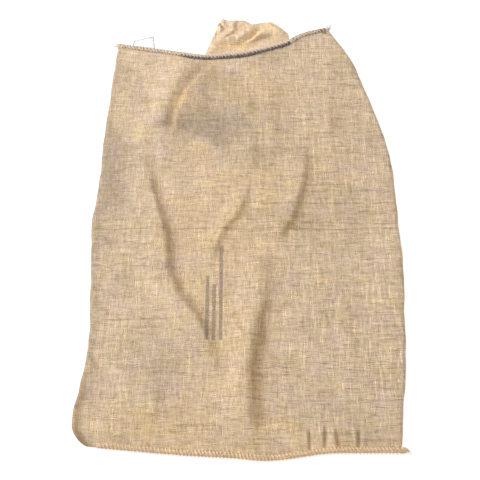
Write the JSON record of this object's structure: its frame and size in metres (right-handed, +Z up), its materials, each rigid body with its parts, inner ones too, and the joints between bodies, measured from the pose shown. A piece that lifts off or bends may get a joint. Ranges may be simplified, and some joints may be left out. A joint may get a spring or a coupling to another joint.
{
  "type": "jute sack",
  "caption": "Empty jute sack lying flat, with an overlocked mouth, a whipped bottom seam, a loose back lip and a small clear label.",
  "frame": {"origin": "middle of the lying sack on the surface that it rests on", "axes": "+Z up from the surface, +Y towards the mouth, +X to the right seen from above with the mouth away from the viewer"},
  "size_m": [0.715, 1.0797, 0.0224],
  "materials": {
    "jute_cloth": "matte woven jute, slightly soiled",
    "clean_jute": "matte woven jute, clean",
    "jute_yarn": "matte twisted yarn",
    "light_thread": "matte thread",
    "dark_thread": "matte thread",
    "clear_film": "clear, creased"
  },
  "bodies": {
    "sack_body": {"back_panel_lower": "jute_cloth", "front_panel_lower": "jute_cloth", "left_fold_lower": "jute_cloth", "right_edge_lower": "jute_cloth", "right_allowance_lower": "jute_cloth", "side_stitches_lower": "light_thread", "front_turn_in": "jute_cloth", "back_turn_in": "jute_cloth", "bottom_seam_roll": "jute_cloth", "bottom_overhand_stitches": "jute_yarn", "bottom_seam_end": "jute_yarn"},
    "mouth_end": {"back_panel_upper": "jute_cloth", "front_panel_upper": "jute_cloth", "left_fold_upper": "jute_cloth", "right_edge_upper": "jute_cloth", "right_allowance_upper": "jute_cloth", "side_stitches_upper": "light_thread", "front_mouth_hem": "jute_cloth", "front_overlock_loops": "light_thread", "front_needle_thread": "dark_thread", "back_hem_left": "jute_cloth", "back_hem_right": "jute_cloth", "back_overlock_loops": "light_thread", "left_corner_tack": "light_thread", "right_corner_tack": "light_thread", "label_tab": "clear_film"},
    "back_lip": {"lip_panel": "clean_jute", "lip_fold": "clean_jute", "lip_turn_under": "clean_jute", "lip_hem": "clean_jute", "lip_overlock_loops": "light_thread"},
    "label": {"label_film": "clear_film"}
  },
  "joints": [
    {"name": "mouth_end_fold", "type": "hinge", "parent": "sack_body", "child": "mouth_end", "pos_m": [0, 0.17, 0.026], "axis": [1, 0, 0], "range_deg": [0, 165]},
    {"name": "lip_turn", "type": "hinge", "parent": "mouth_end", "child": "back_lip", "pos_m": [0.01, 0.483, 0.015], "axis": [0.9879, 0.155, 0], "range_deg": [0, 150]},
    {"name": "label_lift", "type": "hinge", "parent": "mouth_end", "child": "label", "pos_m": [-0.251, 0.4575, 0.0106], "axis": [0.9882, -0.1533, 0], "range_deg": [0, 90]}
  ]
}
